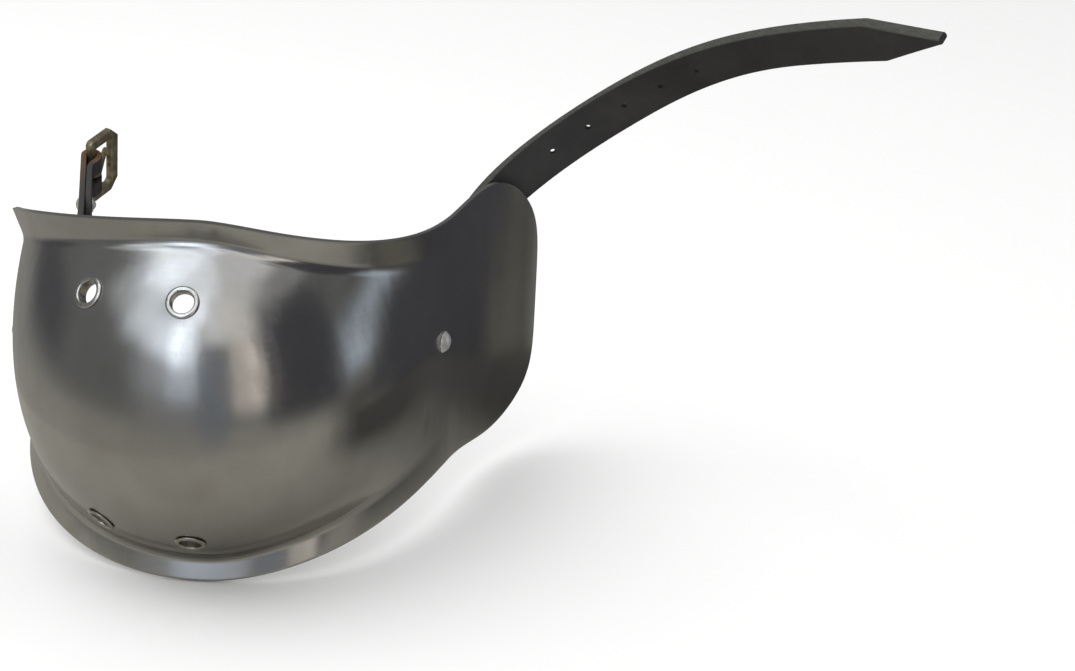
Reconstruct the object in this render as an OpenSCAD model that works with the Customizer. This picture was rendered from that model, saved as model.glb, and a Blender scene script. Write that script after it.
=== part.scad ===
// Couter: the elbow piece of a plate armour harness, with its strap and its buckle.
// Millimetres. +Z runs along the arm, -Y points out through the elbow, +X points to the wing.
// The cop is one sheet: a bowl over the elbow point with a flange along both rims, and a flat wing.

/* [Sheet outline] */
// Sheet thickness
sheet_t = 1.4; // [1:0.1:2]
// Length at mid height from the elbow point round to the buckle end
cup_len = 125; // [115:1:135]
// Length at mid height from the elbow point out to the end of the wing
wing_len = 171.6; // [160:0.1:180]
// Half height of the sheet at the buckle end
end_half = 35.3; // [30:0.1:40]
// Half height of the sheet at the elbow point
point_half = 57.3; // [53:0.1:62]
// Half height of the sheet at the waist between cup and wing
waist_half = 42.6; // [39:0.1:46]
// Half height of the wing at its widest place
wing_half = 45.6; // [42:0.1:50]
// Distance from the elbow point to the waist
waist_at = 116.6; // [105:0.1:125]
// Distance from the elbow point to the widest place of the wing
wing_at = 153.6; // [145:0.1:158]
// Length over which the end of the wing is rounded off
wing_round = 48; // [40:1:50]
// Length over which the corners of the buckle end are rounded off
end_round = 7; // [4:1:10]
// How fast the sheet narrows from the elbow point to the buckle end
end_power = 2.32; // [2:0.01:3]

/* [Sheet bend round the arm, degrees in one bend length] */
// Bend length, over which every bend and twist is counted
bend_len = 10; // [8:0.1:12]
// At the buckle end
bend_end = 2.9; // [2:0.1:4]
// On the buckle side of the cup
bend_side = 6.5; // [6:0.1:7]
// At the elbow point
bend_point = 11.4; // [11:0.1:11.8]
// On the wing side of the cup
bend_wing_side = 7.6; // [7:0.1:8]
// At the root of the wing
bend_wing_root = -1; // [-2:0.1:0]
// At the end of the wing
bend_wing_tip = -10; // [-11:0.1:-8]

/* [Bowl] */
// Depth of the bowl at the elbow point
bowl_depth = 27.2; // [24:0.1:29]
// Depth of the bowl at the buckle end
bowl_end_depth = 3; // [2:0.1:5]
// Half height of the bowl at the elbow point
bowl_half = 50; // [47:0.1:51]
// Half height of the bowl at the buckle end
bowl_end_half = 25; // [22:0.1:28]
// Half height of the bowl where it runs out into the wing
bowl_wing_half = 32.3; // [30:0.1:35]
// Distance from the elbow point to where the bowl runs out into the wing
bowl_len = 120.6; // [112:0.1:123]
// Outward lean of the flange, in degrees
flange_lean = 17.3; // [8:0.1:22]
// Half width of the soft crease between bowl and flange
crease_half = 2; // [1:0.1:3]

/* [Eyelets] */
// Outer diameter of the eyelet flange
eyelet_od = 9.5; // [8:0.1:11]
// Hole through the eyelet
eyelet_id = 6.4; // [5:0.1:7]
// Wall of the eyelet barrel
eyelet_wall = 0.5; // [0.3:0.1:0.7]
// Thickness of the eyelet flange
eyelet_flange_t = 0.7; // [0.5:0.1:1]
// Outer diameter of the washer behind the eyelet
washer_od = 9.6; // [9.4:0.1:9.8]
// Thickness of the washer
washer_t = 0.5; // [0.4:0.1:0.8]
// Place of the outer eyelet pair, along the sheet from the elbow point
eyelet_a_at = -39.8; // [-46:0.1:-34]
// Height of the outer eyelet pair from mid height
eyelet_a_up = 36.1; // [32:0.1:38]
// Place of the inner eyelet pair, along the sheet from the elbow point
eyelet_b_at = -1.8; // [-6:0.1:4]
// Height of the inner eyelet pair from mid height
eyelet_b_up = 37.9; // [34:0.1:40]

/* [Strap rivets] */
// Diameter of the rivet heads
rivet_head_d = 7; // [6:0.1:8]
// Height of the rivet heads
rivet_head_h = 2.2; // [1.5:0.1:3]
// Diameter of the rivet shanks
rivet_d = 3.2; // [2.8:0.1:4]
// Outer diameter of the rivet burrs
burr_od = 8; // [7:0.1:10]
// Thickness of the rivet burrs
burr_t = 0.8; // [0.6:0.1:1.2]
// Place of the strap rivet on the wing, along the sheet from the elbow point
strap_rivet_at = 111.5; // [108:0.1:115]
// Height of the strap rivet from mid height
strap_rivet_up = 2.6; // [-5:0.1:5]
// Distance of the chape rivet from the buckle end of the sheet
chape_rivet_in = 14; // [12:0.1:18]

/* [Long strap] */
// Width of both straps
strap_w = 15; // [13:0.5:16]
// Thickness of the long strap
strap_t = 3.5; // [2.5:0.1:4]
// Length of the long strap from its rivet to its point
strap_len = 242; // [230:1:250]
// Length of the pointed tip
strap_tip = 25; // [15:1:30]
// Width at the very tip
strap_tip_w = 2; // [1:0.5:4]
// Angle of the strap above the run round the arm, in degrees
strap_swing = 31.2; // [28:0.1:34]
// Number of punched holes
hole_count = 5; // [1:1:7]
// Diameter of the punched holes
hole_d = 2; // [1.8:0.1:3.2]
// Distance from the rivet to the first hole
hole_first = 85.3; // [75:0.1:95]
// Distance between holes
hole_step = 14.6; // [10:0.1:16]

/* [Buckle strap] */
// Thickness of the buckle strap
chape_t = 2; // [1.5:0.1:2.5]
// Length of the buckle strap from its rivet to the fold
chape_len = 90; // [84:1:98]
// Length of the folded back layer
flap_len = 30; // [26:1:34]
// Distance from the buckle bar back to the fold rivet
fold_rivet_back = 20; // [17:0.5:21]
// Diameter of the fold rivet shank
fold_rivet_d = 2.2; // [1.8:0.1:2.6]
// Diameter of the fold rivet head
fold_head_d = 5; // [4:0.1:6]
// Height of the fold rivet head
fold_head_h = 1.2; // [0.8:0.1:1.6]
// Angle of the buckle strap above the run round the arm, in degrees
chape_swing = 16.2; // [12:0.1:20]
// Width of the slot for the prong
slot_w = 3.4; // [3:0.1:4]
// Length of the slot behind the bar
slot_back = 7; // [6.5:0.5:8]

/* [Buckle] */
// Diameter of the bar that the frame turns on
bar_d = 3; // [2.6:0.1:3.4]
// Distance from the bar to the middle of the outer bar
frame_reach = 12; // [11:0.1:13]
// Width of the outer bar
outer_bar_w = 4; // [3:0.1:4.5]
// Width of the side bars
side_bar_w = 3.8; // [3:0.1:4.5]
// Thickness of the frame
frame_t = 2.6; // [2.2:0.1:3]
// Cut of the outer corners
frame_cut = 4; // [2.5:0.1:4.5]
// Cut of the window corners
window_cut = 1; // [0.5:0.1:1.5]
// Angle of the frame from the run of its strap, in degrees
frame_fold = 35; // [25:1:60]
// Diameter of the prong wire
prong_d = 2; // [1.6:0.1:2.2]
// Length of the prong from the bar to its tip
prong_len = 15.5; // [14.8:0.1:16.5]

/* [Clearances] */
// Gap between the sheet and a strap that turns against it
strap_gap = 0.3; // [0.2:0.05:0.5]
// Gap between the buckle end of the cup, which is hollow, and the flat buckle strap
chape_gap = 0.7; // [0.6:0.05:1]
// Gap round a part that turns, on the radius
turn_gap = 0.1; // [0.05:0.01:0.15]
// Gap between a burr and the strap that turns under it
burr_gap = 0.3; // [0.25:0.01:0.4]
// Gap round a fixed shank or barrel, on the radius
fixed_gap = 0.05; // [0.02:0.01:0.1]
// Gap between two faces that lie on each other
face_gap = 0.05; // [0.02:0.01:0.1]
// Gap between each side bar and the strap
side_gap = 1.8; // [0.6:0.1:2.2]
// Gap between the two layers of the fold
fold_gap = 0.15; // [0.1:0.01:0.3]

/* [Hidden] */
steel = "#8b8a86";
nickel = "#b9b6ac";
brass = "#5d4d2f";
leather = "#2f2e2c";
rad = 180 / PI;

// Plan of the sheet at mid height, as tables over the length along the sheet.
side_at = -70;
wing_side_at = 60;
wing_root_at = 110;
path_n = 400;
path_ds = (cup_len + wing_len) / path_n;
function clamp01(t) = min(max(t, 0), 1);
function ease(t) = (1 - cos(180 * clamp01(t))) / 2;
function bend(s) = lookup(s, [
  [-cup_len, bend_end], [side_at, bend_side], [0, bend_point],
  [wing_side_at, bend_wing_side], [wing_root_at, bend_wing_root], [wing_len, bend_wing_tip]
]) / bend_len;
function path_s(i) = -cup_len + i * path_ds;
function turn_step(i) = (bend(path_s(i)) + bend(path_s(i + 1))) / 2 * path_ds;
raw_turn = [for (i = 0, a = 0; i <= path_n; a = a + turn_step(i), i = i + 1) [path_s(i), a]];
turn_0 = lookup(0, raw_turn);
turn_tab = [for (r = raw_turn) [r[0], r[1] - turn_0]];
function x_step(i) = path_ds * (cos(turn_tab[i][1]) + cos(turn_tab[i + 1][1])) / 2;
function y_step(i) = path_ds * (sin(turn_tab[i][1]) + sin(turn_tab[i + 1][1])) / 2;
raw_x = [for (i = 0, v = 0; i <= path_n; v = v + (i < path_n ? x_step(i) : 0), i = i + 1) [path_s(i), v]];
raw_y = [for (i = 0, v = 0; i <= path_n; v = v + (i < path_n ? y_step(i) : 0), i = i + 1) [path_s(i), v]];
x_0 = lookup(0, raw_x);
y_0 = lookup(0, raw_y);
function path_turn(s) = lookup(s, turn_tab);
function path_x(s) = lookup(s, raw_x) - x_0;
function path_y(s) = lookup(s, raw_y) - y_0;
function plan_out(s) = [sin(path_turn(s)), -cos(path_turn(s)), 0];
function plan_along(s) = [cos(path_turn(s)), sin(path_turn(s)), 0];

// Height of the rim and of the crease, depth of the bowl, and the outer face of the sheet.
function rim_half(s) =
  s < 0 ? point_half - (point_half - end_half) * pow(clamp01(-s / cup_len), end_power)
  : s < waist_at ? point_half - (point_half - waist_half) * ease(s / waist_at)
  : waist_half + (wing_half - waist_half) * ease((s - waist_at) / (wing_at - waist_at));
function crease_z(s) =
  s < 0 ? bowl_half - (bowl_half - bowl_end_half) * pow(clamp01(-s / cup_len), end_power)
  : bowl_half - (bowl_half - bowl_wing_half) * ease(s / bowl_len);
function bowl_d(s) = max(0.02,
  s < 0 ? bowl_end_depth + (bowl_depth - bowl_end_depth) * (1 - ease(-s / cup_len))
  : bowl_depth * (1 - ease(s / bowl_len)));
function lean(s) = tan(flange_lean) * (1 - ease((s - 30) / (bowl_len - 30)));
function bowl_r(s) = (pow(crease_z(s), 2) + pow(bowl_d(s), 2)) / (2 * bowl_d(s));
function arc_in(r, z) = r - sqrt(max(0, r * r - pow(min(abs(z), 0.98 * r), 2)));
function soft_min(a, b, k) = min(a, b) - pow(max(k - abs(a - b), 0) / k, 2) * k / 4;
function slope_sum(s) = crease_z(s) / sqrt(max(1, pow(bowl_r(s), 2) - pow(crease_z(s), 2))) + lean(s);
function inset(s, z) = soft_min(
  arc_in(bowl_r(s), z),
  bowl_d(s) - lean(s) * (abs(z) - crease_z(s)),
  max(0.02, crease_half * slope_sum(s)));
function outer(s, z) = [path_x(s), path_y(s), z] - plan_out(s) * inset(s, z);
function unit(v) = v / norm(v);
function out_normal(s, z) = unit(cross(
  outer(s + 0.3, z) - outer(s - 0.3, z),
  outer(s, z + 0.3) - outer(s, z - 0.3)));

// Grid of the sheet: columns along the sheet, rows from rim to rim through both creases.
end_corner = 0.14;
wing_corner = 0.17;
end_cols = [1, 0.82, 0.55, 0.28];
wing_cols = [for (i = [1 : 11]) sin(90 * i / 11)];
mid_n = 44;
mid_from = -cup_len + end_round;
mid_to = wing_len - wing_round;
bowl_rows = 7;
function row_z(s, j) =
  let (c = crease_z(s), q = abs(j), m = c - crease_half)
  sign(j) * (
    q <= bowl_rows ? m * q / bowl_rows
    : q <= bowl_rows + 4 ? m + crease_half * (q - bowl_rows) / 2
    : c + crease_half + (rim_half(s) - c - crease_half) * (q - bowl_rows - 4) / 2);
row_n = bowl_rows + 6;
function cap(u, v, a) = [u * (1 - a * pow(abs(v), 1 / a - 1)), v * (1 - a * pow(u, 1 / a - 1))];
function end_sz(u, j) =
  let (s = mid_from - end_round * u, c = cap(u, row_z(s, j) / rim_half(s), end_corner), t = mid_from - end_round * c[0])
  [t, c[1] * rim_half(t)];
function wing_sz(u, j) =
  let (s = mid_to + wing_round * u, c = cap(u, row_z(s, j) / rim_half(s), wing_corner), t = mid_to + wing_round * c[0])
  [t, c[1] * rim_half(t)];
function mid_sz(i, j) = let (s = mid_from + (mid_to - mid_from) * i / mid_n) [s, row_z(s, j)];
sheet_sz = concat(
  [for (u = end_cols) [for (j = [-row_n : row_n]) end_sz(u, j)]],
  [for (i = [0 : mid_n]) [for (j = [-row_n : row_n]) mid_sz(i, j)]],
  [for (u = wing_cols) [for (j = [-row_n : row_n]) wing_sz(u, j)]]);
cols = len(sheet_sz);
rows = 2 * row_n + 1;
outer_pts = [for (c = sheet_sz) for (p = c) outer(p[0], p[1])];
inner_pts = [for (c = sheet_sz) for (p = c) outer(p[0], p[1]) - sheet_t * out_normal(p[0], p[1])];
function two(a, b, c, d) = [[a, b, c], [a, c, d]];
sheet_n = cols * rows;
rim_loop = concat(
  [for (i = [0 : cols - 2]) i * rows],
  [for (j = [0 : rows - 2]) (cols - 1) * rows + j],
  [for (i = [cols - 1 : -1 : 1]) i * rows + rows - 1],
  [for (j = [rows - 1 : -1 : 1]) j]);
sheet_faces = concat(
  [for (i = [0 : cols - 2]) for (j = [0 : rows - 2]) let (a = i * rows + j)
    each two(a, a + 1, a + rows + 1, a + rows)],
  [for (i = [0 : cols - 2]) for (j = [0 : rows - 2]) let (a = sheet_n + i * rows + j)
    each two(a, a + rows, a + rows + 1, a + 1)],
  [for (k = [0 : len(rim_loop) - 1]) let (a = rim_loop[k], b = rim_loop[(k + 1) % len(rim_loop)])
    each two(a, b, b + sheet_n, a + sheet_n)]);

// A ribbon: a flat strip led through space by its bend and its twist. A frame is [place, along, out, across].
function spin(a, b, d) = cos(d) * a + sin(d) * b;
function frame_step(f, h, k, q) =
  let (t = spin(f[1], f[2], k), n = spin(f[2], -f[1], k))
  [f[0] + h * (f[1] + t) / 2, t, spin(n, f[3], q), spin(f[3], -n, q)];
function run(f, h, count, bends, twists) = [
  for (i = 0, g = f; i <= count; g = frame_step(g, h, bends(i), twists(i)), i = i + 1) g];
function section(w, t, c) = [
  [w, c - t], [w, t - c], [w - c, t], [c - w, t], [-w, t - c], [-w, c - t], [c - w, -t], [w - c, -t]];
function ring(f, w, t, c) = [for (p = section(w / 2, t / 2, c)) f[0] + p[0] * f[3] + p[1] * f[2]];
function ribbon_faces(count, flip) = concat(
  [for (i = [0 : count - 2]) for (j = [0 : 7]) let (a = 8 * i + j, b = 8 * i + (j + 1) % 8)
    each (flip ? two(a, b, b + 8, a + 8) : two(a, a + 8, b + 8, b))],
  [for (j = [1 : 6]) flip ? [0, j + 1, j] : [0, j, j + 1]],
  [for (j = [1 : 6]) let (e = 8 * (count - 1)) flip ? [e, e + j, e + j + 1] : [e, e + j + 1, e + j]]);
module ribbon(frames, widths, t, c, flip) {
  polyhedron([for (i = [0 : len(frames) - 1]) each ring(frames[i], widths[i], t, c)],
    ribbon_faces(len(frames), flip), convexity = 8);
}
module at_frame(f) {
  x = f[1];
  y = f[3];
  z = cross(x, y);
  p = f[0];
  multmatrix([
    [x[0], y[0], z[0], p[0]], [x[1], y[1], z[1], p[1]], [x[2], y[2], z[2], p[2]], [0, 0, 0, 1]
  ]) children();
}
function start_frame(place, along, out, swing) =
  [place, spin(along, [0, 0, 1], swing), out, spin([0, 0, 1], -along, swing)];

// Long strap. Its bend and twist, in degrees in one bend length, are read at even places from the rivet to the tip.
strap_bends = [-10.2, 7.1, 12.8, 8.9, 4.6, 6.5, 4.9, 1.6, 1, -0.1];
strap_twists = [3.2, 6.3, -4.1, 1.7, -1.9];
function even(list, t) = lookup(t * (len(list) - 1), [for (i = [0 : len(list) - 1]) [i, list[i]]]);
strap_n = 66;
strap_h = strap_len / strap_n;
strap_place = outer(strap_rivet_at, strap_rivet_up);
strap_out = plan_out(strap_rivet_at);
strap_foot = start_frame(strap_place - strap_out * (sheet_t + strap_gap + strap_t / 2),
  plan_along(strap_rivet_at), strap_out, strap_swing);
strap_run = run(strap_foot, strap_h, strap_n,
  function(i) strap_h / bend_len * even(strap_bends, (i + 0.5) / strap_n),
  function(i) strap_h / bend_len * even(strap_twists, (i + 0.5) / strap_n));
function back_off(f, d) = [f[0] - d * f[1], f[1], f[2], f[3]];
heel = [for (k = [0 : 7]) sin(82 - 82 * k / 8) * strap_w / 2];
function heel_w(d) = max(1.6, 2 * sqrt(max(0, pow(strap_w / 2, 2) - d * d)));
function tip_w(l) = strap_w - (strap_w - strap_tip_w) * clamp01((l - strap_len + strap_tip) / strap_tip);
strap_frames = concat([for (d = heel) back_off(strap_foot, d)], strap_run);
strap_widths = concat([for (d = heel) heel_w(d)], [for (i = [0 : strap_n]) tip_w(i * strap_h)]);
function run_at(l) =
  let (k = min(strap_n - 1, floor(l / strap_h)), u = l / strap_h - k, a = strap_run[k], b = strap_run[k + 1])
  [a[0] + u * (b[0] - a[0]), unit(a[1] + u * (b[1] - a[1])), unit(a[2] + u * (b[2] - a[2])), unit(a[3] + u * (b[3] - a[3]))];

// Buckle strap: a run that bends, a straight run, the fold round the bar, and the layer that comes back.
chape_bends = [0, -14.2, -0.2, 12, 0];
chape_twists = [0, 0, 0.2, 2.2, 0];
chape_straight = flap_len - 4;
chape_bend_to = chape_len - chape_straight;
chape_h = chape_bend_to / 36;
chape_at = -cup_len + chape_rivet_in;
chape_out = plan_out(chape_at);
chape_place = outer(chape_at, 0);
chape_foot = start_frame(chape_place - chape_out * (sheet_t + chape_gap + chape_t / 2),
  -plan_along(chape_at), chape_out, chape_swing);
function chape_even(list, i) =
  let (l = (i + 0.5) * chape_h, d = (chape_bend_to - 6) / 3)
  lookup(l, [[0, list[0]], [6, list[1]], [6 + d, list[2]], [6 + 2 * d, list[3]], [chape_bend_to, list[4]]]);
chape_run = run(chape_foot, chape_h, 36,
  function(i) chape_h / bend_len * chape_even(chape_bends, i),
  function(i) chape_h / bend_len * chape_even(chape_twists, i));
chape_bend_end = chape_run[36];
chape_end = back_off(chape_bend_end, -chape_straight);
fold_r = bar_d / 2 + turn_gap + chape_t / 2;
fold_n = 16;
fold_run = run(chape_end, PI * fold_r / fold_n, fold_n, function(i) -180 / fold_n, function(i) 0);
back_r = 6;
back_turn = acos(1 - (2 * fold_r - chape_t - fold_gap) / (2 * back_r));
back_n = 6;
back_a = run(fold_run[fold_n], back_r * back_turn / rad / back_n, back_n, function(i) -back_turn / back_n, function(i) 0);
back_b = run(back_a[back_n], back_r * back_turn / rad / back_n, back_n, function(i) back_turn / back_n, function(i) 0);
flap_used = 2 * back_r * sin(back_turn);
flap_left = flap_len - flap_used - strap_w / 2;
flap_start = back_b[back_n];
flap_round = [for (k = [0 : 8]) sin(82 * k / 8) * strap_w / 2];
chape_frames = concat(
  [for (d = heel) back_off(chape_foot, d)], chape_run, [chape_end],
  [for (i = [1 : fold_n]) fold_run[i]], [for (i = [1 : back_n]) back_a[i]], [for (i = [1 : back_n]) back_b[i]],
  [for (d = flap_round) back_off(flap_start, -flap_left - d)]);
chape_widths = concat(
  [for (d = heel) heel_w(d)], [for (i = [1 : 37 + 1 + fold_n + 2 * back_n]) strap_w],
  [for (d = flap_round) heel_w(d)]);
// The bar frame: along the strap, inward across the fold, and along the bar.
bar_place = chape_end[0] - fold_r * chape_end[2];
bar_frame = [bar_place, chape_end[1], chape_end[2], chape_end[3]];
window_w = strap_w + 2 * side_gap;
frame_w = window_w + 2 * side_bar_w;
prong_r = bar_d / 2 + turn_gap + prong_d / 2;
// The prong rests on the inner edge of the outer bar.
rest_x = frame_reach - outer_bar_w / 2;
rest_z = frame_t / 2 + prong_d / 2 + turn_gap;
prong_rest = atan2(rest_z, rest_x) + asin(prong_r / norm([rest_x, rest_z]));
fold_rivet_frame = back_off(chape_end, fold_rivet_back);
fold_stack = 2 * chape_t + fold_gap;
punch_len = 3 * strap_t;

// Half ball cap of a rivet head with its flat face at z = 0.
module dome(d, h) {
  r = (d * d / 4 + h * h) / (2 * h);
  intersection() {
    translate([0, 0, h - r]) sphere(r = r, $fn = 48);
    cylinder(d = d, h = h, $fn = 48);
  }
}

// Places on the sheet, with +Z along the outward normal.
module on_sheet(s, z) {
  n = out_normal(s, z);
  x = unit(cross([0, 0, 1], n));
  y = cross(n, x);
  p = outer(s, z);
  multmatrix([
    [x[0], y[0], n[0], p[0]], [x[1], y[1], n[1], p[1]], [x[2], y[2], n[2], p[2]], [0, 0, 0, 1]
  ]) children();
}
module on_plan(s, z) {
  n = plan_out(s);
  x = plan_along(s);
  p = outer(s, z);
  multmatrix([
    [x[0], 0, n[0], p[0]], [x[1], 0, n[1], p[1]], [x[2], 1, n[2], p[2]], [0, 0, 0, 1]
  ]) children();
}
barrel_od = eyelet_id + 2 * eyelet_wall;
sheet_hole_d = barrel_od + 2 * fixed_gap;
// The sheet is hollow behind the eyelet, so a flat washer meets it at its rim.
washer_z = -sheet_t - 0.5 - washer_t;
roll_h = 0.6;
module eyelet() {
  rotate_extrude($fn = 48) polygon([
    [eyelet_id / 2, eyelet_flange_t * 0.6], [eyelet_id / 2 + 0.35, eyelet_flange_t],
    [eyelet_od / 2 - 0.5, eyelet_flange_t * 0.8], [eyelet_od / 2, 0.12], [eyelet_od / 2, 0.02],
    [barrel_od / 2, 0.02], [barrel_od / 2, washer_z - face_gap], [barrel_od / 2 + 0.7, washer_z - face_gap],
    [barrel_od / 2 + 0.5, washer_z - roll_h * 0.8], [eyelet_id / 2 + 0.3, washer_z - face_gap - roll_h],
    [eyelet_id / 2, washer_z - roll_h * 0.7]
  ]);
}
module washer() {
  translate([0, 0, washer_z]) difference() {
    cylinder(d = washer_od, h = washer_t, $fn = 48);
    translate([0, 0, -1]) cylinder(d = barrel_od + 2 * fixed_gap, h = washer_t + 2, $fn = 48);
  }
}
// Rivet through the sheet and one strap: head outside, burr on the leather, shank set over the burr.
module rivet(stack) {
  translate([0, 0, face_gap]) dome(rivet_head_d, rivet_head_h);
  translate([0, 0, -stack - burr_t - 1]) cylinder(d = rivet_d, h = stack + burr_t + 1.5, $fn = 48);
  translate([0, 0, -stack - burr_t - face_gap]) mirror([0, 0, 1]) dome(rivet_d + 1.6, 1.2);
}
module burr(stack) {
  translate([0, 0, -stack - burr_t]) difference() {
    cylinder(d = burr_od, h = burr_t, $fn = 48);
    translate([0, 0, -1]) cylinder(d = rivet_d + 2 * fixed_gap, h = burr_t + 2, $fn = 48);
  }
}
strap_stack = sheet_t + strap_gap + strap_t + burr_gap;
chape_stack = sheet_t + chape_gap + chape_t + burr_gap;

// Box round the whole part, so that its origin lies under its middle.
frame_along = spin(bar_frame[1], -bar_frame[2], frame_fold);
frame_out = spin(bar_frame[2], bar_frame[1], frame_fold);
frame_end = frame_reach + outer_bar_w / 2;
frame_tip = [for (y = [-1, 1]) for (z = [-1, 1]) for (c = [0, 1])
  bar_place + (frame_end - c * frame_cut) * frame_along
  + y * (frame_w / 2 - (1 - c) * frame_cut) * bar_frame[3] + z * frame_t / 2 * frame_out];
all_pts = concat(outer_pts, inner_pts, frame_tip, [chape_place + (rivet_head_h + face_gap) * chape_out],
  [for (i = [0 : len(strap_frames) - 1]) each ring(strap_frames[i], strap_widths[i], strap_t, 0.5)],
  [for (i = [0 : len(chape_frames) - 1]) each ring(chape_frames[i], chape_widths[i], chape_t, 0.3)]);
function low(k) = min([for (p = all_pts) p[k]]);
function high(k) = max([for (p = all_pts) p[k]]);
shift = [-(low(0) + high(0)) / 2, -(low(1) + high(1)) / 2, -low(2)];

module cop_shell() {
  color(steel) translate(shift) difference() {
    polyhedron(concat(outer_pts, inner_pts), sheet_faces, convexity = 10);
    for (z = [-1, 1]) {
      on_sheet(eyelet_a_at, z * eyelet_a_up) translate([0, 0, -8]) cylinder(d = sheet_hole_d, h = 12, $fn = 48);
      on_sheet(eyelet_b_at, z * eyelet_b_up) translate([0, 0, -8]) cylinder(d = sheet_hole_d, h = 12, $fn = 48);
    }
    on_plan(strap_rivet_at, strap_rivet_up) translate([0, 0, -5]) cylinder(d = rivet_d + 2 * fixed_gap, h = 8, $fn = 48);
    on_plan(chape_at, 0) translate([0, 0, -5]) cylinder(d = rivet_d + 2 * fixed_gap, h = 8, $fn = 48);
  }
}
module eyelet_a_top() {
  color(nickel) translate(shift) on_sheet(eyelet_a_at, eyelet_a_up) eyelet();
}
module eyelet_a_bottom() {
  color(nickel) translate(shift) on_sheet(eyelet_a_at, -eyelet_a_up) eyelet();
}
module eyelet_b_top() {
  color(nickel) translate(shift) on_sheet(eyelet_b_at, eyelet_b_up) eyelet();
}
module eyelet_b_bottom() {
  color(nickel) translate(shift) on_sheet(eyelet_b_at, -eyelet_b_up) eyelet();
}
module washer_a_top() {
  color(nickel) translate(shift) on_sheet(eyelet_a_at, eyelet_a_up) washer();
}
module washer_a_bottom() {
  color(nickel) translate(shift) on_sheet(eyelet_a_at, -eyelet_a_up) washer();
}
module washer_b_top() {
  color(nickel) translate(shift) on_sheet(eyelet_b_at, eyelet_b_up) washer();
}
module washer_b_bottom() {
  color(nickel) translate(shift) on_sheet(eyelet_b_at, -eyelet_b_up) washer();
}
module strap_rivet() {
  color(steel) translate(shift) on_plan(strap_rivet_at, strap_rivet_up) rivet(strap_stack);
}
module strap_rivet_burr() {
  color(steel) translate(shift) on_plan(strap_rivet_at, strap_rivet_up) burr(strap_stack);
}
module long_strap() {
  color(leather) translate(shift) difference() {
    ribbon(strap_frames, strap_widths, strap_t, 0.5, false);
    at_frame(strap_foot) cylinder(d = rivet_d + 2 * turn_gap, h = punch_len, center = true, $fn = 48);
    for (k = [0 : hole_count - 1]) {
      at_frame(run_at(hole_first + k * hole_step)) cylinder(d = hole_d, h = punch_len, center = true, $fn = 32);
    }
  }
}
module chape_rivet() {
  color(steel) translate(shift) on_plan(chape_at, 0) rivet(chape_stack);
}
module chape_rivet_burr() {
  color(steel) translate(shift) on_plan(chape_at, 0) burr(chape_stack);
}
module buckle_strap() {
  color(leather) translate(shift) difference() {
    ribbon(chape_frames, chape_widths, chape_t, 0.3, true);
    at_frame(chape_foot) cylinder(d = rivet_d + 2 * turn_gap, h = punch_len, center = true, $fn = 48);
    at_frame(fold_rivet_frame) translate([0, 0, -punch_len / 2])
      cylinder(d = fold_rivet_d + 2 * fixed_gap, h = 1.2 * punch_len, $fn = 48);
    at_frame(bar_frame) translate([-slot_back, -slot_w / 2, -4 * chape_t])
      cube([slot_back + 4 * chape_t, slot_w, 8 * chape_t]);
  }
}
// The fold rivet's head lies on the outer layer, and its burr on the layer that comes back.
module fold_rivet() {
  color(steel) translate(shift) at_frame(fold_rivet_frame) {
    translate([0, 0, -chape_t / 2 - face_gap]) mirror([0, 0, 1]) dome(fold_head_d, fold_head_h);
    translate([0, 0, -chape_t / 2 - 0.6]) cylinder(d = fold_rivet_d, h = fold_stack + 0.5 + 1.2, $fn = 48);
    translate([0, 0, -chape_t / 2 + fold_stack + 0.5 + 2 * face_gap]) dome(fold_rivet_d + 1.2, 0.9);
  }
}
module fold_rivet_burr() {
  color(steel) translate(shift) at_frame(fold_rivet_frame)
    translate([0, 0, -chape_t / 2 + fold_stack + face_gap]) difference() {
      cylinder(d = fold_head_d, h = 0.5, $fn = 48);
      translate([0, 0, -1]) cylinder(d = fold_rivet_d + 2 * fixed_gap, h = 3, $fn = 48);
    }
}
module frame_plate() {
  x0 = -bar_d / 2 - 0.4;
  x1 = frame_reach + outer_bar_w / 2;
  y1 = frame_w / 2;
  wx = frame_reach - outer_bar_w / 2;
  wy = window_w / 2;
  polygon([
    [x0 + 1.2, -y1], [x1 - frame_cut, -y1], [x1, -y1 + frame_cut], [x1, y1 - frame_cut], [x1 - frame_cut, y1],
    [x0 + 1.2, y1], [x0, y1 - 1.2], [x0, wy], [wx - window_cut, wy], [wx, wy - window_cut],
    [wx, window_cut - wy], [wx - window_cut, -wy], [x0, -wy], [x0, 1.2 - y1]
  ]);
}
module buckle_frame() {
  color(brass) translate(shift) at_frame(bar_frame) rotate([0, -frame_fold, 0]) {
    translate([0, 0, -frame_t / 2]) linear_extrude(frame_t) frame_plate();
    rotate([90, 0, 0]) cylinder(d = bar_d, h = frame_w - 3, center = true, $fn = 48);
  }
}
module prong_arm() {
  r = prong_d / 2 - 0.05;
  rotate_extrude($fn = 48) polygon([
    [0, 0], [r, 0], [r, prong_len - 2.5], [r * 0.86, prong_len - 0.7], [r * 0.55, prong_len - 0.15], [0, prong_len]
  ]);
}
module buckle_prong() {
  color(brass) translate(shift) at_frame(bar_frame) rotate([0, 180 + prong_rest - frame_fold, 0]) {
    rotate([90, 0, 0]) rotate_extrude($fn = 64) translate([prong_r, 0]) circle(d = prong_d, $fn = 48);
    translate([0, 0, -prong_r]) rotate([0, -90, 0]) prong_arm();
  }
}

cop_shell();
eyelet_a_top();
eyelet_a_bottom();
eyelet_b_top();
eyelet_b_bottom();
washer_a_top();
washer_a_bottom();
washer_b_top();
washer_b_bottom();
strap_rivet();
strap_rivet_burr();
long_strap();
chape_rivet();
chape_rivet_burr();
buckle_strap();
fold_rivet();
fold_rivet_burr();
buckle_frame();
buckle_prong();
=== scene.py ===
import math
import bpy
import numpy as np
from mathutils import Matrix, Vector


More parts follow.
